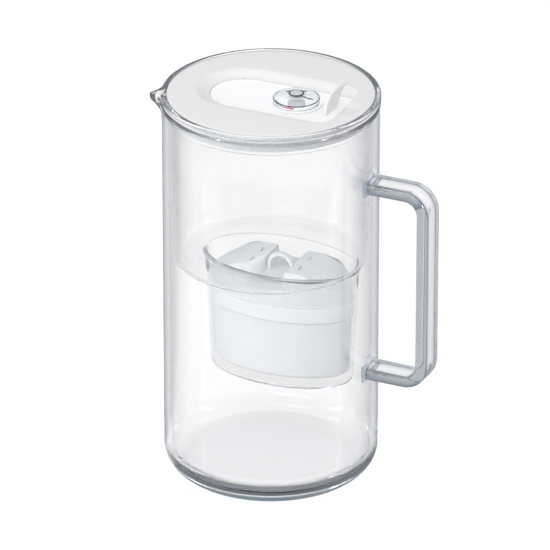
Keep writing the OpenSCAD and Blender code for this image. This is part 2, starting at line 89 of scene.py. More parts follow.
def group(name, inputs, outputs):
    """A shader node group with named float or colour sockets."""
    tree = bpy.data.node_groups.new(name, "ShaderNodeTree")
    for label, kind, value in inputs:
        socket = tree.interface.new_socket(label, in_out="INPUT", socket_type="NodeSocket" + kind)
        socket.default_value = value
    for label, kind in outputs:
        tree.interface.new_socket(label, in_out="OUTPUT", socket_type="NodeSocket" + kind)
    return tree, tree.nodes.new("NodeGroupInput"), tree.nodes.new("NodeGroupOutput")


def node(tree, kind, **values):
    """A new node with its settings."""
    made = tree.nodes.new("ShaderNode" + kind)
    for key, value in values.items():
        setattr(made, key, value)
    return made


def maths(tree, operation, *operands):
    """A Math node's result; each operand is a number or a socket."""
    made = node(tree, "Math", operation=operation)
    for socket, value in zip(made.inputs, operands):
        if isinstance(value, (int, float)):
            socket.default_value = value
        else:
            tree.links.new(value, socket)
    return made.outputs[0]


def fade(tree, source, zero, one):
    """A soft step of source: 0 at zero, 1 at one."""
    span = node(tree, "MapRange", interpolation_type="SMOOTHSTEP")
    span.inputs["From Min"].default_value = min(zero, one)
    span.inputs["From Max"].default_value = max(zero, one)
    span.inputs["To Min"].default_value = 0.0 if zero < one else 1.0
    span.inputs["To Max"].default_value = 1.0 if zero < one else 0.0
    tree.links.new(source, span.inputs["Value"])
    return span.outputs[0]


def tinted(tree, share, color, tint, blend="MULTIPLY"):
    """The colour with a tint blended in by share."""
    mix = node(tree, "Mix", data_type="RGBA", blend_type=blend)
    # Sockets 0, 6 and 7 are the factor and the two colours, and output 2 is the colour
    mix.inputs[7].default_value = (*tint, 1)
    tree.links.new(share, mix.inputs[0])
    tree.links.new(color, mix.inputs[6])
    return mix.outputs[2]


def away_and_height(tree, axis_x=0.0):
    """Distance from an upright axis at axis_x, and height, both in metres."""
    place = node(tree, "TexCoord")
    flat = node(tree, "VectorMath", operation="MULTIPLY_ADD")
    flat.inputs[1].default_value = (1, 1, 0)
    flat.inputs[2].default_value = (-axis_x, 0, 0)
    away = node(tree, "VectorMath", operation="LENGTH")
    split = node(tree, "SeparateXYZ")
    tree.links.new(place.outputs["Object"], flat.inputs[0])
    tree.links.new(flat.outputs[0], away.inputs[0])
    tree.links.new(place.outputs["Object"], split.inputs[0])
    return away.outputs["Value"], split.outputs["Z"]


# Moulded plastic

GAP_SHADE = (0.3, 0.33, 0.38)
GAP_SOFT = 0.0002


def make_moulded():
    """Moulded plastic: a little colour drift, uneven gloss and a very fine grain."""
    tree, entry, leave = group(
        "moulded_plastic",
        [("Color", "Color", (0.8, 0.8, 0.8, 1)), ("Drift", "Float", 0.02), ("Roughness", "Float", 0.35),
         ("Gloss Drift", "Float", 0.06), ("Grain", "Float", 0.02)],
        [("Color", "Color"), ("Roughness", "Float"), ("Height", "Float")])
    place = node(tree, "TexCoord")
    slow = node(tree, "TexNoise")
    slow.inputs["Scale"].default_value = 45.0
    slow.inputs["Detail"].default_value = 3.0
    fine = node(tree, "TexNoise")
    fine.inputs["Scale"].default_value = 2600.0
    fine.inputs["Detail"].default_value = 2.0
    for noise in (slow, fine):
        tree.links.new(place.outputs["Object"], noise.inputs["Vector"])
    centred = maths(tree, "SUBTRACT", slow.outputs["Fac"], 0.5)
    tint = node(tree, "VectorMath", operation="SCALE")
    tree.links.new(entry.outputs["Color"], tint.inputs[0])
    tree.links.new(maths(tree, "MULTIPLY_ADD", centred, entry.outputs["Drift"], 1.0), tint.inputs["Scale"])
    gloss = maths(tree, "MULTIPLY_ADD", centred, entry.outputs["Gloss Drift"], entry.outputs["Roughness"])
    height = maths(tree, "MULTIPLY", fine.outputs["Fac"], entry.outputs["Grain"])
    tree.links.new(tint.outputs[0], leave.inputs["Color"])
    tree.links.new(gloss, leave.inputs["Roughness"])
    tree.links.new(height, leave.inputs["Height"])
    return tree


MOULDED = make_moulded()


def plastic(name, color, roughness, drift=0.02, grain=0.02, metallic=0.0, coat=0.0, shade_from=None):
    """Moulded plastic; past shade_from, in metres from the upright axis, it is in a gap's shade."""
    material, tree, bsdf = shader(name)
    finish = node(tree, "Group", node_tree=MOULDED)
    finish.inputs["Color"].default_value = (*color, 1)
    finish.inputs["Drift"].default_value = drift
    finish.inputs["Roughness"].default_value = roughness
    finish.inputs["Grain"].default_value = grain
    bump = node(tree, "Bump")
    bump.inputs["Strength"].default_value = 0.25
    bump.inputs["Distance"].default_value = 0.0001
    tree.links.new(finish.outputs["Height"], bump.inputs["Height"])
    color = finish.outputs["Color"]
    if shade_from:
        away, _ = away_and_height(tree)
        color = tinted(tree, fade(tree, away, shade_from, shade_from + GAP_SOFT), color, GAP_SHADE)
    tree.links.new(color, bsdf.inputs["Base Color"])
    tree.links.new(finish.outputs["Roughness"], bsdf.inputs["Roughness"])
    tree.links.new(bump.outputs["Normal"], bsdf.inputs["Normal"])
    bsdf.inputs["Metallic"].default_value = metallic
    bsdf.inputs["Coat Weight"].default_value = coat
    return material


# Masks for the dark lines and pale zones of clear pieces, with bounds in metres


def outer_ring(tree, rise, fall, reach):
    """1 on a level ring of the jug's outer curve where it's seen from outside, 0 elsewhere."""
    away, height = away_and_height(tree)
    edge = maths(tree, "MULTIPLY", fade(tree, height, *rise), fade(tree, height, *fall))
    edge = maths(tree, "MULTIPLY", edge, fade(tree, away, *reach))
    side = node(tree, "NewGeometry")
    return maths(tree, "MULTIPLY", edge, maths(tree, "SUBTRACT", 1.0, side.outputs["Backfacing"]))


def foot_ring(tree):
    """1 on the foot's round edge, 0 elsewhere."""
    return outer_ring(tree, rise=(-0.002, -0.001), fall=(0.0086, 0.0070), reach=(0.052, 0.056))


def heel_shade_ring(tree):
    """1 on a band where the foot's curve meets the wall, which is darkened there as painted shade; 0
    elsewhere.
    """
    return outer_ring(tree, rise=(0.0086, 0.0096), fall=(0.0185, 0.0158), reach=(0.0626, 0.0634))


def rim_shade_line(tree):
    """1 on the rim's inner wall just under the lid's top edge, where a line of shade is painted; 0
    elsewhere.
    """
    away, height = away_and_height(tree)
    level = maths(tree, "MULTIPLY", fade(tree, height, 0.2488, 0.2492), fade(tree, height, 0.2504, 0.2500))
    return maths(tree, "MULTIPLY", level, fade(tree, away, 0.0645, 0.0641))


def window_rim(tree):
    """1 on the thin rim of the indicator window's top, 0 elsewhere."""
    away, height = away_and_height(tree, DIAL_X * MM)
    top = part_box("indicator_window")[1][2]
    return maths(tree, "MULTIPLY", fade(tree, away, 0.01365, 0.0138),
                 fade(tree, height, top - 0.0005, top - 0.0003))


def base_zone(tree):
    """1 in the thick base, 0 above it."""
    _, height = away_and_height(tree)
    return fade(tree, height, 0.020, 0.010)


def across_bar(tree):
    """How far the handle's surface faces sideways: 0 on its inner and outer faces, 1 on its flat sides."""
    place = node(tree, "TexCoord")
    split = node(tree, "SeparateXYZ")
    tree.links.new(place.outputs["Normal"], split.inputs[0])
    return maths(tree, "ABSOLUTE", split.outputs["Y"])


def shaded_sides(tree):
    """1 on the two flat sides of the handle's bar, which are darkened as painted shade; 0 on its inner and
    outer faces.
    """
    return fade(tree, across_bar(tree), 0.75, 0.98)


def shaded_edge_lines(tree):
    """1 on the handle's softened edges, where dark lines are painted as shade; 0 elsewhere."""
    slant = across_bar(tree)
    return maths(tree, "MULTIPLY", fade(tree, slant, 0.06, 0.2), fade(tree, slant, 0.99, 0.94))


# Clear glass and plastic

DEEP_BOUNCE, PAINTED_GLOW_STRENGTH, PAINTED_GLOW_COLOR = 5.5, 0.007, (0.84, 0.91, 1.0)
SMEAR_SCALE, SMEAR_ROUGHNESS = 30.0, 0.008
LAMP_TINT = (0.94, 0.95, 0.96)
DIFFUSE_TINT = (0.99, 0.99, 0.99)


def clear(name, face, edge, start, ior=1.45, tints=()):
    """Clear glass or plastic, greyer where it's seen edge on and tinted by masks, some of which paint shade.
    """
    material, tree, bsdf = shader(name)
    weight = node(tree, "LayerWeight")
    weight.inputs["Blend"].default_value = 0.5
    ramp = node(tree, "ValToRGB")
    ramp.color_ramp.interpolation = "EASE"
    ramp.color_ramp.elements[0].position = start
    ramp.color_ramp.elements[0].color = (*face, 1)
    ramp.color_ramp.elements[1].position = 1.0
    ramp.color_ramp.elements[1].color = (*edge, 1)
    tree.links.new(weight.outputs["Facing"], ramp.inputs["Fac"])
    color = ramp.outputs["Color"]
    for mask, tint in tints:
        color = tinted(tree, mask(tree), color, tint)
    # Diffuse light goes through nearly untinted, so what stands in the glass stays bright
    path = node(tree, "LightPath")
    color = tinted(tree, path.outputs["Diffuse Depth"], color, DIFFUSE_TINT, blend="MIX")
    tree.links.new(color, bsdf.inputs["Base Color"])
    # Painted light: where a ray has bounced many times inside thick glass, the glass glows a faint blue-grey
    deep = maths(tree, "GREATER_THAN", path.outputs["Ray Depth"], DEEP_BOUNCE)
    tree.links.new(maths(tree, "MULTIPLY", deep, PAINTED_GLOW_STRENGTH), bsdf.inputs["Emission Strength"])
    bsdf.inputs["Emission Color"].default_value = (*PAINTED_GLOW_COLOR, 1)
    smear = node(tree, "TexNoise")
    smear.inputs["Scale"].default_value = SMEAR_SCALE
    spread = node(tree, "MapRange")
    spread.inputs["To Min"].default_value = 0.0
    spread.inputs["To Max"].default_value = SMEAR_ROUGHNESS
    around = node(tree, "TexCoord")
    tree.links.new(around.outputs["Object"], smear.inputs["Vector"])
    tree.links.new(smear.outputs["Fac"], spread.inputs["Value"])
    tree.links.new(spread.outputs[0], bsdf.inputs["Roughness"])
    bsdf.inputs["IOR"].default_value = ior
    bsdf.inputs["Transmission Weight"].default_value = 1.0
    # Lamps shine through it, so it throws no dark shadow
    lets = node(tree, "BsdfTransparent")
    lets.inputs["Color"].default_value = (*LAMP_TINT, 1)
    choose = node(tree, "MixShader")
    tree.links.new(path.outputs["Is Shadow Ray"], choose.inputs[0])
    tree.links.new(bsdf.outputs[0], choose.inputs[1])
    tree.links.new(lets.outputs[0], choose.inputs[2])
    tree.links.new(choose.outputs[0], tree.nodes["Material Output"].inputs["Surface"])
    return material


# Painted shade: the heel ring and the rim line darken the glass in thin bands.
jug_glass = clear("jug_glass", (0.985, 0.986, 0.988), (0.47, 0.485, 0.51), 0.25,
                  tints=[(foot_ring, (0.1, 0.16, 0.225)), (heel_shade_ring, (0.07, 0.077, 0.09)),
                         (rim_shade_line, (0.12, 0.13, 0.15)), (base_zone, (0.94, 0.943, 0.95))])
# Painted shade: the handle's flat sides and its softened edges are darkened.
handle_glass = clear("handle_glass", (0.93, 0.94, 0.95), (0.5, 0.53, 0.57), 0.3,
                     tints=[(shaded_sides, (0.48, 0.51, 0.55)), (shaded_edge_lines, (0.19, 0.205, 0.23))])
pad_glass = clear("pad_glass", (0.7, 0.75, 0.8), (0.45, 0.5, 0.56), 0.2)
funnel_clear = clear("funnel_clear", (0.97, 0.971, 0.973), (0.6, 0.615, 0.64), 0.3, ior=1.35)
window_clear = clear("window_clear", (0.985, 0.99, 0.99), (0.5, 0.54, 0.58), 0.5, ior=1.12,
                     tints=[(window_rim, (0.004, 0.005, 0.006))])
lid_white = plastic("lid_white", (0.78, 0.785, 0.79), 0.3, shade_from=0.06285)
# Painted light: the flap's white is lighter than the lid's, for the brighter dish floor
flap_painted_lit = plastic("flap_painted_lit", (0.97, 0.973, 0.976), 0.3)
# Painted shade: the tab's white is darker, for the shade on its face
tab_painted_shaded = plastic("tab_painted_shaded", (0.74, 0.746, 0.755), 0.3)
skirt_white = plastic("skirt_white", (0.76, 0.77, 0.78), 0.45)
shell_white = plastic("shell_white", (0.88, 0.885, 0.89), 0.3)
band_white = plastic("band_white", (0.93, 0.93, 0.935), 0.5, drift=0.01)
cap_white = plastic("cap_white", (0.9, 0.906, 0.912), 0.4)
pull_white = plastic("pull_white", (0.84, 0.845, 0.85), 0.35)
seal_grey = plastic("seal_grey", (0.62, 0.64, 0.66), 0.6, drift=0.04)
mesh_grey = plastic("mesh_grey", (0.72, 0.73, 0.74), 0.8, drift=0.1, grain=0.6)
granule_black = plastic("granule_black", (0.03, 0.03, 0.032), 0.9, drift=0.4, grain=1.0)
pin_steel = plastic("pin_steel", (0.6, 0.61, 0.62), 0.25, metallic=1.0)
dial_face = plastic("dial_face", (0.8, 0.815, 0.83), 0.4)
display_grey = plastic("display_grey", (0.44, 0.46, 0.49), 0.2, coat=0.4)
trim_black = plastic("trim_black", (0.02, 0.022, 0.025), 0.35)
scale_blue = plastic("scale_blue", (0.34, 0.39, 0.44), 0.4)
marker_red = plastic("marker_red", (0.45, 0.13, 0.2), 0.4)
board_green = plastic("board_green", (0.03, 0.14, 0.06), 0.4)
cell_metal = plastic("cell_metal", (0.62, 0.62, 0.63), 0.22, metallic=1.0)
button_grey = plastic("button_grey", (0.58, 0.605, 0.635), 0.3, coat=0.3)

# Making pieces


def finish_piece(name, bm, material, body, replaced, sharp=35, scale=MM):
    """Turns a bmesh, in millimetres as a rule, into a smooth-shaded piece that rides on a body."""
    bmesh.ops.scale(bm, vec=(scale,) * 3, verts=bm.verts[:])
    bmesh.ops.remove_doubles(bm, verts=bm.verts[:], dist=1e-7)
    bmesh.ops.recalc_face_normals(bm, faces=bm.faces[:])
    mesh = bpy.data.meshes.new(name)
    bm.to_mesh(mesh)
    bm.free()
    mesh.shade_smooth()
    mesh.set_sharp_from_angle(angle=math.radians(sharp))
    piece = bpy.data.objects.new(name, mesh)
    bpy.context.scene.collection.objects.link(piece)
    mesh.materials.append(material)
    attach(piece, body)
    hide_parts(*replaced)


def sharp_edges(bm, degrees):
    """The edges between two faces that meet at more than an angle."""
    return [e for e in bm.edges if len(e.link_faces) == 2 and e.calc_face_angle() > math.radians(degrees)]


def soften(bm, edges, offset, segments=3):
    """Rounds the edges over."""
    bmesh.ops.bevel(bm, geom=edges, offset=offset, offset_type="OFFSET", segments=segments, profile=0.5,
                    affect="EDGES", clamp_overlap=True, material=-1)


def copied(name, node_name, material, bevel=0.0, segments=2, angle=40, shape=None):
    """A cleaned copy of a CAD node with softened edges, in place of the node."""
    bm = bmesh.new()
    bm.from_mesh(cad[node_name].data)
    bmesh.ops.remove_doubles(bm, verts=bm.verts[:], dist=1e-6)
    bmesh.ops.dissolve_limit(bm, angle_limit=math.radians(0.4), verts=bm.verts[:], edges=bm.edges[:])
    if shape:
        shape(bm)
    if bevel:
        soften(bm, sharp_edges(bm, angle), bevel * MM, segments)
    finish_piece(name, bm, material, cad[node_name]["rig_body"], [node_name], scale=1.0)


def next_ring(bm, edges):
    """Extrudes a closed loop of edges and returns the new loop's edges and vertices."""
    made = bmesh.ops.extrude_edge_only(bm, edges=edges)["geom"]
    verts = [g for g in made if isinstance(g, bmesh.types.BMVert)]
    fresh = set(verts)
    rim = [g for g in made if isinstance(g, bmesh.types.BMEdge) and fresh.issuperset(g.verts)]
    return rim, verts


def loft(stations, segments, closed=True):
    """Oval rings (centre x, z, half length, half width), each joined to the next by an extrusion."""
    bm = bmesh.new()
    verts = bmesh.ops.create_circle(bm, radius=1.0, segments=segments)["verts"]
    edges = bm.edges[:]
    first = edges
    was = (0.0, 0.0, 1.0, 1.0)
    for count, (x, z, a, b) in enumerate(stations):
        if count:
            edges, verts = next_ring(bm, edges)
        at = Matrix.Translation((-was[0], 0, -was[1]))
        bmesh.ops.scale(bm, vec=(a / was[2], b / was[3], 1), space=at, verts=verts)
        bmesh.ops.translate(bm, vec=(x - was[0], 0, z - was[1]), verts=verts)
        was = (x, z, a, b)
    if closed:
        bmesh.ops.bridge_loops(bm, edges=first + edges)
    else:
        bmesh.ops.holes_fill(bm, edges=bm.edges[:], sides=0)
    return bm


def arc(cx, cz, r, start, end, steps):
    """Points (radius, z) on a corner."""
    turns = [math.radians(start + (end - start) * i / steps) for i in range(steps + 1)]
    return [(cx + r * math.cos(t), cz + r * math.sin(t)) for t in turns]


def round_rings(points):
    """Round rings for loft, from points (radius, z)."""
    return [(0, z, r, r) for r, z in points]


# Jug: a spun wall with a thick floor, a proud rim and a beak pulled out of the rim

FOOT_ROUND, FLOOR_ROUND, FLOOR_Z = 15.7, 12.0, 9.0
BAND_Z, LIP_OUT, LIP_IN = 247.5, 1.2, 0.8
BEAK_Z, BEAK_RISE, BEAK_HALF = 236.0, 12.0, 13


def make_jug():
    """The jug's whole outline, from the middle of its underside round the rim to the middle of its floor."""
    outer = [(JUG_R - FOOT_ROUND - 6, 0.0)] + arc(JUG_R - FOOT_ROUND, FOOT_ROUND, FOOT_ROUND, -90, 0, 20)
    outer += [(JUG_R, z) for z in range(30, 230, 20)]
    outer += [(JUG_R, 233.0), (JUG_R, 238.0), (JUG_R, 241.0), (JUG_R, 243.2), (JUG_R + 0.1, 244.1),
              (JUG_R + 0.6, 244.8), (RIM_OUT, 245.6), (RIM_OUT, BAND_Z)]
    outer += arc(RIM_OUT - LIP_OUT, JUG_H - LIP_OUT, LIP_OUT, 0, 90, 6)
    inner = arc(RIM_IN + LIP_IN, JUG_H - LIP_IN, LIP_IN, 90, 180, 5)
    inner += [(RIM_IN, BAND_Z), (RIM_IN, LEDGE_Z + 0.3), (RIM_IN - 0.3, LEDGE_Z), (JUG_IN + 0.3, LEDGE_Z),
              (JUG_IN, LEDGE_Z - 0.3), (JUG_IN, 241.0), (JUG_IN, 238.0)]
    inner += [(JUG_IN, z) for z in range(220, 30, -20)]
    inner += arc(JUG_IN - FLOOR_ROUND, FLOOR_Z + FLOOR_ROUND, FLOOR_ROUND, 0, -90, 14)
    inner += [(40.0, FLOOR_Z), (20.0, FLOOR_Z), (4.0, FLOOR_Z)]
    base = [(4.0, 0.0), (20.0, 0.0)]
    return loft(round_rings(base + outer + inner), 192, closed=False)


def pull_spout(bm):
    """Moves the rim outwards round the spout's direction, most at the top."""
    turn = math.radians(SPOUT_TURN)
    along = Vector((math.cos(turn), math.sin(turn), 0))
    across = Vector((-along.y, along.x, 0))
    for v in bm.verts:
        radius = math.hypot(v.co.x, v.co.y)
        side = v.co.dot(across)
        if v.co.dot(along) < 0 or v.co.z < BEAK_Z or abs(side) > BEAK_HALF:
            continue
        up = min(1.0, (v.co.z - BEAK_Z) / BEAK_RISE)
        lift = up * up * (3 - 2 * up)
        outside = min(1.0, max(0.0, (radius - JUG_IN) / (RIM_OUT - JUG_IN)))
        width = 8.6 + 2.6 * outside
        fall = max(0.0, 1 - abs(side) / width)
        reach = (5.2 + 1.7 * outside) * fall ** 1.5 * lift
        v.co += along * reach - across * side * 0.42 * lift * (1 - abs(side) / BEAK_HALF)


jug = make_jug()
pull_spout(jug)
finish_piece("jug_glass_body", jug, jug_glass, "jug", ["jug_body"], sharp=60)

# Handle: a flat bar bent into a C, with softened edges

PAD_T, BAR_REACH, BAR_T, BAR_HALF = 1.7, 42.2, 7.7, 8.5
BAR_LOW, BAR_HIGH, ARM_T = 74.5, 206.2, 7.1


def bar_outline(reach, low, high, corner):
    """Open side at the jug: lower root, two outer corners, upper root, as (x, z)."""
    return ([(0, low)] + arc(reach - corner, low + corner, corner, -90, 0, 10)
            + arc(reach - corner, high - corner, corner, 0, 90, 10) + [(0, high)])


def make_handle():
    """The bar between its two outlines, with roots that fit the pads' round faces."""
    root = JUG_R + PAD_T
    reach = JUG_R + BAR_REACH
    outside = bar_outline(reach, BAR_LOW, BAR_HIGH, 16.0)
    inside = bar_outline(reach - BAR_T, BAR_LOW + ARM_T, BAR_HIGH - ARM_T, 8.3)
    bm = bmesh.new()
    loop = [bm.verts.new((max(x, root), -BAR_HALF, z)) for x, z in outside + inside[::-1]]
    face = bm.faces.new(loop)
    made = bmesh.ops.extrude_face_region(bm, geom=[face])["geom"]
    far_side = [g for g in made if isinstance(g, bmesh.types.BMVert)]
    bmesh.ops.translate(bm, vec=(0, 2 * BAR_HALF, 0), verts=far_side)
    bmesh.ops.recalc_face_normals(bm, faces=bm.faces[:])
    along_bar = [e for e in sharp_edges(bm, 60) if abs(e.verts[0].co.y - e.verts[1].co.y) < 0.01
                 and max(v.co.x for v in e.verts) > root + 0.01]
    soften(bm, along_bar, 0.9)
    for v in bm.verts:
        if v.co.x < root + 0.01:
            v.co.x = math.sqrt(root ** 2 - v.co.y ** 2)
    return bm


finish_piece("handle_bar", make_handle(), handle_glass, "jug", ["handle"], sharp=30)
copied("handle_pad_upper", "upper_handle_pad", pad_glass, bevel=0.4)
copied("handle_pad_lower", "lower_handle_pad", pad_glass, bevel=0.4)

# Funnel: a spun bowl whose floor opens into the oval well

BOWL_R, BOWL_Z, BOWL_ROUND_OUT, BOWL_ROUND_IN = 54.0, 147.0, 5.0, 3.4


def well_half(h):
    """Half length and half width of the well's outside at a height above its bottom."""
    return WELL_A + FLARE_A * h / WELL_DEPTH, WELL_B + FLARE_B * h / WELL_DEPTH


def oval(h, inset=0.0):
    """A ring of the well, set in from its outside, at a height above its bottom."""
    a, b = well_half(h)
    return (WELL_X, WELL_Z + h, a - inset, b - inset)


def bottom_round(low, r, a, b, turns):
    """Rings up a rounded bottom edge of radius r, round a flat oval of a by b."""
    return [(WELL_X, low + r - r * math.cos(math.radians(t)), a + r * math.sin(math.radians(t)),
             b + r * math.sin(math.radians(t))) for t in turns]


def make_funnel():
    """Up the outside from the well's bottom to the rim, and down the inside."""
    floor_top = FUNNEL_Z + FUNNEL_WALL
    well_floor = WELL_Z + FUNNEL_WALL
    outside = [(WELL_X, WELL_Z, 9.0, 9.0), (WELL_X, WELL_Z, 20.0, 16.0), (WELL_X, WELL_Z, 40.0, 21.0)]
    outside += bottom_round(WELL_Z, 4, 42.5, 22.7, range(10, 91, 16))
    outside += [oval(h) for h in (12, 24, 36, 48, 60, 70, 74)]
    outside += [(6.8, FUNNEL_Z - 0.6, 50.2, 30.2), (6.0, FUNNEL_Z, 51.4, 32.0), (2.0, FUNNEL_Z, 52.6, 44.0)]
    outside += round_rings([(BOWL_R, FUNNEL_Z)] + arc(BOWL_R, BOWL_Z, BOWL_ROUND_OUT, -80, 0, 8))
    outside += round_rings([(59.3, 160.0), (59.8, 185.0), (60.4, 210.0), (61.0, 237.2), (61.3, 237.6),
                            (62.1, 238.2), (62.1, 244.6), (62.3, 245.0), (63.3, 245.2), (63.3, 246.2),
                            (63.0, 246.4)])
    inside = round_rings([(59.7, 246.4), (59.4, 246.1), (59.4, 237.7), (58.9, 210.0), (58.2, 185.0),
                          (57.7, 160.0)] + arc(BOWL_R, BOWL_Z, BOWL_ROUND_IN, 0, -90, 7))
    inside += [(2.0, floor_top, 52.0, 43.0), (6.0, floor_top, 50.6, 31.2), (6.8, FUNNEL_Z + 1.1, 48.9, 28.9)]
    inside += [oval(h, FUNNEL_WALL) for h in (74, 60, 48, 36, 24, 12)]
    inside += bottom_round(well_floor, 3, 42.1, 22.3, range(90, 9, -16))
    inside += [(WELL_X, well_floor, 40.0, 21.0), (WELL_X, well_floor, 20.0, 16.0),
               (WELL_X, well_floor, 9.0, 9.0)]
    return loft(outside + inside, 160)


finish_piece("funnel_bowl", make_funnel(), funnel_clear, "funnel", ["funnel"], sharp=50)

# Cartridge: an oval cup in the well, its collar band, and the cap with two humps and the pull

SHELL_LOW, SHELL_TOP, SHELL_OUT, SHELL_IN, SHELL_ROUND = 7.1, 45.4, 2.6, 4.1, 2.5
SHELL_FLAT = SHELL_OUT + SHELL_ROUND
HUMP_END, HUMP_TOE, HUMP_FOOT, SHELF_FALL = 17.3, 20.4, 133.2, 0.45
CAP_WALL = 1.6


def make_shell():
    """The oval cup, up its outside and down its inside."""
    a, b = well_half(SHELL_LOW)
    low = WELL_Z + SHELL_LOW
    rings = [(WELL_X, low, 9.0, 9.0), oval(SHELL_LOW, 6)]
    rings += bottom_round(low, SHELL_ROUND, a - SHELL_FLAT, b - SHELL_FLAT, range(15, 91, 15))
    rings += [oval(h, SHELL_OUT) for h in (16, 26, 36, SHELL_TOP)]
    rings += [oval(SHELL_TOP, SHELL_IN), oval(12, SHELL_IN)]
    a, b = well_half(12)
    rings += [(WELL_X, low + 1.5, a - 6, b - 6), (WELL_X, low + 1.5, 9.0, 9.0)]
    return loft(rings, 120)


def make_band():
    """The collar band, with softened edges."""
    profile = ((45.7, 2.4), (46.1, 1.95), (48.5, 1.9), (52.5, 1.9), (55.1, 1.95), (55.5, 2.4),
               (55.5, 4.0), (45.7, 4.0))
    return loft([oval(h, inset) for h, inset in profile], 120)


def slope_hump_ends(bm):
    """Cuts the humps' two ends down to a low shelf, as slanted faces, outside and inside alike."""
    for y in (HUMP_END, HUMP_TOE):
        for side in (-1, 1):
            bmesh.ops.bisect_plane(bm, geom=bm.verts[:] + bm.edges[:] + bm.faces[:], dist=1e-6,
                                   plane_co=(0, side * y * MM, 0), plane_no=(0, 1, 0))
    bm.normal_update()
    for v in bm.verts:
        away = abs(v.co.y) / MM
        if away < HUMP_TOE - 0.1:
            continue
        under = any(f.normal.z < -0.2 for f in v.link_faces)
        limit = HUMP_FOOT - SHELF_FALL * (away - HUMP_TOE) - (CAP_WALL if under else 0.0)
        v.co.z = min(v.co.z, limit * MM)


finish_piece("cartridge_body", make_shell(), shell_white, "cartridge", ["cartridge_shell"])
finish_piece("cartridge_band", make_band(), band_white, "cartridge", ["cartridge_seal"])
copied("cartridge_top", "cartridge_cap", cap_white, bevel=0.6, segments=3, angle=25,
       shape=slope_hump_ends)
copied("cartridge_arch", "cartridge_pull", pull_white, bevel=0.5, segments=3)

# Lid: rings that follow the flap's outline in the dish and open out to the round edge

FLAP_GAP, TIGHT_GAP = 0.35, 0.08
DISH_SIDE, DISH_END, DISH_RISE, DISH_STEPS = 9.4, 2.5, 3.4, 12
ROOM_HALF, ROOM_R = 1.7, FLAP_R + 1.05
SCOOP_X, SCOOP_R, SCOOP_DEEP, SCOOP_ABOVE = 52.0, 8.5, 2.185, 248.9
LID_UNDER, THROAT_LOW = 248.6, 243.1


def plan_points(side, end, tail=0.0):
    """The flap's outline, grown by side and end; tail grows its round end beyond the hinge instead."""
    half = FLAP_R + side
    r = 3.0 + max(side, -2.0)
    right = FLAP_END + end
    span = right - r - FLAP_X
    round_end = [math.radians(90 + 180 * i / 48) for i in range(48)]
    quarter = [math.radians(90 * i / 8) for i in range(8)]
    points = [(FLAP_X + half * math.cos(t), half * math.sin(t)) for t in round_end]
    points += [(FLAP_X + span * i / 24, -half) for i in range(24)]
    points += [(right - r + r * math.sin(t), -half + r - r * math.cos(t)) for t in quarter]
    points += [(right, (half - r) * (i / 8 - 1)) for i in range(16)]
    points += [(right - r + r * math.cos(t), half - r + r * math.sin(t)) for t in quarter]
    points += [(right - r - span * i / 24, half) for i in range(24)]
    if tail:
        half = FLAP_R + tail
        for i, (x, y) in enumerate(points):
            if x < HINGE_X + 3:
                reach = math.hypot(x - FLAP_X, y)
                points[i] = (FLAP_X + (x - FLAP_X) * half / reach, y * half / reach)
    return points


def polar(points, radius, centre_x=0.0):
    """The same number of points on a circle, each in its point's direction from the centre."""
    out = []
    for x, y in points:
        away = math.hypot(x - centre_x, y)
        out.append((centre_x + (x - centre_x) * radius / away, y * radius / away))
    return out


def between(first, last, share):
    """Points part of the way from one outline to another."""
    return [(a[0] + (b[0] - a[0]) * share, a[1] + (b[1] - a[1]) * share) for a, b in zip(first, last)]


def ring_stack(rings):
    """A closed ring of rings, (points, z) each, joined by extrusions."""
    bm = bmesh.new()
    points, z = rings[0]
    order = list(bmesh.ops.create_circle(bm, radius=1.0, segments=len(points))["verts"])
    edges = bm.edges[:]
    first = edges
    for v, p in zip(order, points):
        v.co = (*p, z)
    for points, z in rings[1:]:
        where = {v: i for i, v in enumerate(order)}
        edges, verts = next_ring(bm, edges)
        order = [None] * len(order)
        for v in verts:
            for e in v.link_edges:
                other = e.other_vert(v)
                if other in where:
                    order[where[other]] = v
        for v, p in zip(order, points):
            v.co = (*p, z)
    bmesh.ops.bridge_loops(bm, edges=first + edges)
    return bm


def with_hinge_room(points):
    """Widens an outline beside the hinge, where the flap's edge turns."""
    out = []
    for x, y in points:
        grow = 1.0
        if abs(x - HINGE_X) < ROOM_HALF and abs(y) > 12:
            grow = max(1.0, ROOM_R / math.hypot(x - FLAP_X, y))
        out.append((FLAP_X + (x - FLAP_X) * grow, y * grow))
    return out


def seat(tight):
    """The opening's wall: close along the straight sides, wider round the tail that swings down."""
    wide = plan_points(FLAP_GAP, FLAP_GAP)
    close = plan_points(tight, tight)
    return with_hinge_room([c if c[0] > -20 else w for c, w in zip(close, wide)])


def scoop(bm):
    """Presses the finger scoop into the lid's top behind the tab."""
    for v in bm.verts:
        away = math.hypot(v.co.x - SCOOP_X, v.co.y * 0.8)
        if v.co.z > SCOOP_ABOVE and away < SCOOP_R:
            v.co.z -= SCOOP_DEEP * (1 + math.cos(math.pi * away / SCOOP_R)) * 0.5


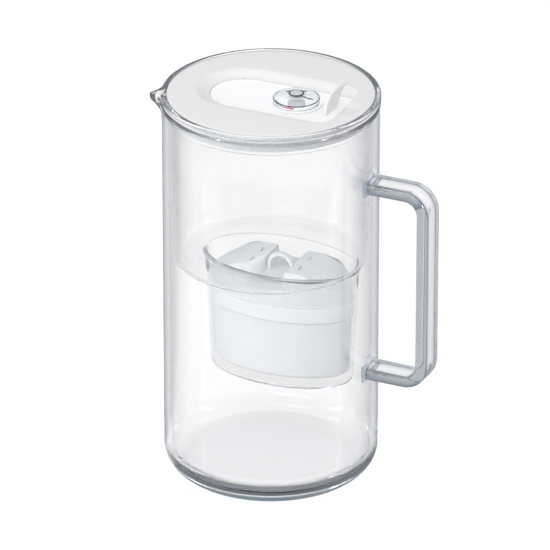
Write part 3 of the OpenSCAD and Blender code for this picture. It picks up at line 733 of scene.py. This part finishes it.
def make_lid():
    """Up the opening's wall, over the dish and the top to the edge, and back on the underside."""
    throat = plan_points(-2.1, -2.1, tail=FLAP_GAP)
    under = plan_points(DISH_SIDE, 3.5)
    dish = plan_points(FLAP_GAP + DISH_SIDE, FLAP_GAP + DISH_END)
    edge = polar(dish, LID_R)
    rings = [(throat, THROAT_LOW), (throat, 244.6), (seat(TIGHT_GAP), 244.6), (seat(TIGHT_GAP), 246.3),
             (seat(FLAP_GAP), 246.5)]
    for i in range(DISH_STEPS + 1):
        t = i / DISH_STEPS
        rings.append((with_hinge_room(plan_points(FLAP_GAP + DISH_SIDE * t, FLAP_GAP + DISH_END * t)),
                      FLAP_TOP + DISH_RISE * (1 - math.cos(math.pi * t)) / 2))
    for share in (0.08, 0.18, 0.3, 0.42, 0.55, 0.68, 0.8, 0.9):
        rings.append((between(dish, polar(dish, 62.7), share), LID_Z))
    rings += [(polar(dish, 62.7), LID_Z), (polar(dish, 63.1), LID_Z - 0.15), (edge, LID_Z - 0.5),
              (edge, 248.7), (polar(dish, 63.1), LID_UNDER), (polar(dish, 62.2), LID_UNDER),
              (polar(dish, 62.2), 246.7), (polar(dish, 59.1), 246.7), (polar(dish, 59.1), LID_UNDER),
              (polar(dish, 57.3), LID_UNDER), (under, LID_UNDER), (under, THROAT_LOW)]
    bm = ring_stack(rings)
    scoop(bm)
    return bm


finish_piece("lid_plate", make_lid(), lid_white, "lid", ["lid_cover"], sharp=40)
copied("lid_ring", "lid_skirt", skirt_white, bevel=0.3)
copied("lid_rib_seal", "lid_seal", seal_grey)

# Flap: a plate with soft edges and a hole for the indicator, and the tab that lifts it

DIAL_HOLE, FLAP_LOW, EASE_STEPS, EASE_START, EASE_END = 14.3, 244.9, 8, -0.9, -2.3
CURL_X, CURL_Y, CURL_R = 139.6, -11.0, 100.0
TAB_X, TAB_T, TAB_TIP = 41.3, 1.5, 0.985


def make_flap():
    """From the hole's lower edge out to the plate's edge, and over the shallow dish back to the hole."""
    edge = plan_points(0, 0)
    hole = polar(edge, DIAL_HOLE, DIAL_X)
    rings = [(hole, FLAP_LOW), (plan_points(-0.4, -0.4), FLAP_LOW), (edge, 245.3), (edge, 246.4),
             (plan_points(-0.15, -0.15), 246.75), (plan_points(-0.5, -0.5), FLAP_TOP)]
    for i in range(EASE_STEPS + 1):
        t = i / EASE_STEPS
        inward = EASE_START + (EASE_END - EASE_START) * t
        rings.append((plan_points(inward, inward), FLAP_TOP - FLAP_DISH * (1 - math.cos(math.pi * t)) / 2))
    low = FLAP_TOP - FLAP_DISH
    flat = plan_points(EASE_END, EASE_END)
    rings += [(between(flat, hole, share), low) for share in (0.3, 0.6, 0.85)]
    rings += [(hole, low)]
    return ring_stack(rings)


def through(points, t):
    """A smooth curve through points, t from 0 to 1."""
    at = t * (len(points) - 1)
    i = min(int(at), len(points) - 2)
    t = at - i
    four = (points[max(i - 1, 0)], points[i], points[i + 1], points[min(i + 2, len(points) - 1)])
    return [0.5 * (2 * b + (c - a) * t + (2 * a - 5 * b + 4 * c - d) * t * t
                   + (3 * b - a - 3 * c + d) * t ** 3) for a, b, c, d in zip(*four)]


def make_tab():
    """A curved leaf that sweeps up to a point on the far side: (y, z) along its near and far edges."""
    near = [(-9.9, 246.2), (-9.0, 248.7), (-7.4, 251.6), (-5.0, 254.3), (-1.2, 257.0), (4.4, 259.0),
            (11.5, 259.7), (19.4, 260.7)]
    far = [(2.8, 246.2), (4.6, 247.6), (5.9, 249.8), (7.4, 252.0), (9.1, 254.2), (11.2, 256.6),
           (14.6, 258.9), (19.4, 260.7)]
    bm = bmesh.new()
    bmesh.ops.create_grid(bm, x_segments=14, y_segments=40, size=1.0)
    for v in bm.verts:
        u, w = (v.co.x + 1) / 2, (v.co.y + 1) / 2 * TAB_TIP
        first, last = through(near, w), through(far, w)
        y, z = (f + (g - f) * u for f, g in zip(first, last))
        v.co = (CURL_X - math.sqrt(CURL_R ** 2 - (y - CURL_Y) ** 2), y, z)
    bmesh.ops.recalc_face_normals(bm, faces=bm.faces[:])
    bmesh.ops.solidify(bm, geom=bm.faces[:], thickness=TAB_T)
    middle = sum(v.co.x for v in bm.verts) / len(bm.verts)
    bmesh.ops.translate(bm, vec=(TAB_X - middle, 0, 0), verts=bm.verts[:])
    bmesh.ops.recalc_face_normals(bm, faces=bm.faces[:])
    soften(bm, sharp_edges(bm, 50), 0.45)
    return bm


finish_piece("flap_plate", make_flap(), flap_painted_lit, "flap", ["fill_flap"], sharp=40)
finish_piece("flap_tab", make_tab(), tab_painted_shaded, "flap", ["fill_flap"], sharp=50)
copied("indicator_case", "indicator_housing", flap_painted_lit, bevel=0.25)
copied("indicator_lens", "indicator_window", window_clear, bevel=0.25)
copied("indicator_face", "indicator_dial", dial_face, bevel=0.15)
copied("indicator_screen", "indicator_display", display_grey, bevel=0.2)
copied("indicator_bezel", "indicator_ring", trim_black, bevel=0.12)
copied("indicator_key", "indicator_button", button_grey, bevel=0.25)

# Pieces whose CAD shape stays as it is
finishes = {
    "cartridge_inlet_mesh": mesh_grey, "cartridge_outlet_mesh": mesh_grey,
    "cartridge_granules": granule_black, "hinge_pin": pin_steel, "indicator_pointer": trim_black,
    "indicator_scale": scale_blue, "indicator_marker": marker_red, "indicator_board": board_green,
    "indicator_switch": pin_steel, "indicator_cell": cell_metal}
for name, material in finishes.items():
    cad[name].data.materials.clear()
    cad[name].data.materials.append(material)

# Studio: white floor, white surround, soft lamps and the camera

FAR_GREY, ROOM_GREY, PANEL_WHITE = (0.2, 0.215, 0.24), (0.42, 0.45, 0.49), (1.2, 1.2, 1.2)
ROOM_STOPS = ((-86, (0.24, 0.255, 0.28)), (-76, PANEL_WHITE), (-56, PANEL_WHITE), (-50, ROOM_GREY),
              (95, ROOM_GREY), (140, (0.22, 0.235, 0.26)))


def seen_white(tree):
    """Nodes that pick the eye's white, gloss's grey and the plain light by the kind of ray."""
    path = node(tree, "LightPath")
    eye = maths(tree, "MAXIMUM", path.outputs["Is Camera Ray"], path.outputs["Is Transmission Ray"])
    gloss = node(tree, "MixShader")
    tree.links.new(eye, gloss.inputs[0])
    plain = node(tree, "MixShader")
    tree.links.new(path.outputs["Diffuse Depth"], plain.inputs[0])
    tree.links.new(gloss.outputs[0], plain.inputs[1])
    return gloss.inputs[1], gloss.inputs[2], plain.inputs[2], plain.outputs[0]


def studio_floor(name):
    """White to the eye, with the object's shadow; grey in reflections; plain to diffuse light."""
    material, tree, bsdf = shader(name)
    tree.nodes.remove(bsdf)
    seen = node(tree, "BsdfDiffuse")
    seen.inputs["Color"].default_value = (0.3, 0.3, 0.3, 1)
    light = node(tree, "Emission")
    light.inputs["Strength"].default_value = 0.76
    both = node(tree, "AddShader")
    tree.links.new(seen.outputs[0], both.inputs[0])
    tree.links.new(light.outputs[0], both.inputs[1])
    # Reflections show a soft grey room with one bright light panel to the left and a dark far side
    place = node(tree, "TexCoord")
    parts = node(tree, "SeparateXYZ")
    tree.links.new(place.outputs["Object"], parts.inputs[0])
    turn = maths(tree, "ARCTAN2", parts.outputs["X"], maths(tree, "MULTIPLY", parts.outputs["Y"], -1.0))
    around = node(tree, "MapRange")
    around.inputs["From Min"].default_value = -math.pi
    around.inputs["From Max"].default_value = math.pi
    tree.links.new(turn, around.inputs["Value"])
    room = node(tree, "ValToRGB")
    stops = room.color_ramp.elements
    for stop in stops:
        stop.color = (*FAR_GREY, 1)
    for degrees, color in ROOM_STOPS:
        stops.new((degrees + 180) / 360).color = (*color, 1)
    tree.links.new(around.outputs[0], room.inputs["Fac"])
    mirror = node(tree, "Emission")
    tree.links.new(room.outputs["Color"], mirror.inputs["Color"])
    plain = node(tree, "Emission")
    plain.inputs["Strength"].default_value = 0.62
    gloss_in, eye_in, plain_in, chosen = seen_white(tree)
    tree.links.new(mirror.outputs[0], gloss_in)
    tree.links.new(both.outputs[0], eye_in)
    tree.links.new(plain.outputs[0], plain_in)
    tree.links.new(chosen, tree.nodes["Material Output"].inputs["Surface"])
    return material


def studio_world():
    """Even light for diffuse rays; to the others, white above, grey at the horizon and pale below."""
    world = bpy.data.worlds.new("studio")
    bpy.context.scene.world = world
    world.use_nodes = True
    tree = world.node_tree
    even = tree.nodes["Background"]
    even.inputs["Color"].default_value = (0.98, 0.99, 1.0, 1)
    even.inputs["Strength"].default_value = 0.7
    heading = node(tree, "TexCoord")
    height = node(tree, "SeparateXYZ")
    tree.links.new(heading.outputs["Generated"], height.inputs[0])
    level = node(tree, "MapRange")
    level.inputs["From Min"].default_value = -1.0
    tree.links.new(height.outputs["Z"], level.inputs["Value"])
    rise = node(tree, "ValToRGB")
    stops = rise.color_ramp.elements
    stops[0].position = 0.3
    stops[0].color = (0.75, 0.78, 0.82, 1)
    stops[1].position = 0.95
    stops[1].color = (1.15, 1.15, 1.15, 1)
    stops.new(0.52).color = (0.4, 0.43, 0.48, 1)
    tree.links.new(level.outputs[0], rise.inputs["Fac"])
    backdrop = node(tree, "Background")
    backdrop.inputs["Strength"].default_value = 1.0
    tree.links.new(rise.outputs["Color"], backdrop.inputs["Color"])
    ray = node(tree, "LightPath")
    pick = node(tree, "MixShader")
    tree.links.new(ray.outputs["Diffuse Depth"], pick.inputs[0])
    tree.links.new(backdrop.outputs[0], pick.inputs[1])
    tree.links.new(even.outputs[0], pick.inputs[2])
    tree.links.new(pick.outputs[0], tree.nodes["World Output"].inputs["Surface"])


bm = bmesh.new()
bmesh.ops.create_circle(bm, cap_ends=True, radius=3.0, segments=96)
floor_mesh = bpy.data.meshes.new("studio_floor")
bm.to_mesh(floor_mesh)
bm.free()
floor = bpy.data.objects.new("studio_floor", floor_mesh)
floor.location = (0, 0, -0.0003)
bpy.context.scene.collection.objects.link(floor)
floor_mesh.materials.append(studio_floor("floor_white"))
studio_world()


def aim(thing, azimuth, elevation, distance, target):
    """Puts a lamp or the camera in the scene, at an azimuth and an elevation round its target."""
    turn, rise = math.radians(azimuth), math.radians(elevation)
    back = Vector((math.sin(turn) * math.cos(rise), -math.cos(turn) * math.cos(rise), math.sin(rise)))
    thing.location = target + back * distance
    thing.rotation_euler = (-back).to_track_quat("-Z", "Y").to_euler()
    bpy.context.scene.collection.objects.link(thing)


def lamp(name, azimuth, elevation, distance, width, height, power):
    """A soft box that looks at the jug, at an azimuth counted as the camera's is."""
    data = bpy.data.lights.new(name, "AREA")
    data.shape = "RECTANGLE"
    data.size = width
    data.size_y = height
    data.energy = power
    aim(bpy.data.objects.new(name, data), azimuth, elevation, distance, Vector((0, 0, 0.16)))


lamp("key_soft_box", 5, 46, 1.6, 0.9, 0.9, 8.0)
lamp("front_soft_box", 0, 14, 1.7, 1.3, 0.5, 5.5)
lamp("side_strip", -62, 18, 1.5, 0.22, 1.2, 4.0)
lamp("right_strip", 112, 18, 1.5, 0.22, 1.2, 3.0)

camera_data = bpy.data.cameras.new("photo_camera")
camera_data.lens = 443.2
camera_data.sensor_width = 36.0
camera_data.clip_end = 50.0
camera = bpy.data.objects.new("photo_camera", camera_data)
aim(camera, 25.0, 25.787, 4.14595, Vector((2.257, 1.052, 128.05)) * MM)
scene = bpy.context.scene
scene.camera = camera
scene.view_settings.view_transform = "Standard"
# A ray that is reflected inside the glass again and again needs many bounces, or it ends black
BOUNCES = 24
scene.cycles.max_bounces = BOUNCES
scene.cycles.transmission_bounces = BOUNCES
scene.cycles.glossy_bounces = BOUNCES
scene.cycles.transparent_max_bounces = BOUNCES
scene.cycles.caustics_refractive = True
scene.cycles.caustics_reflective = True
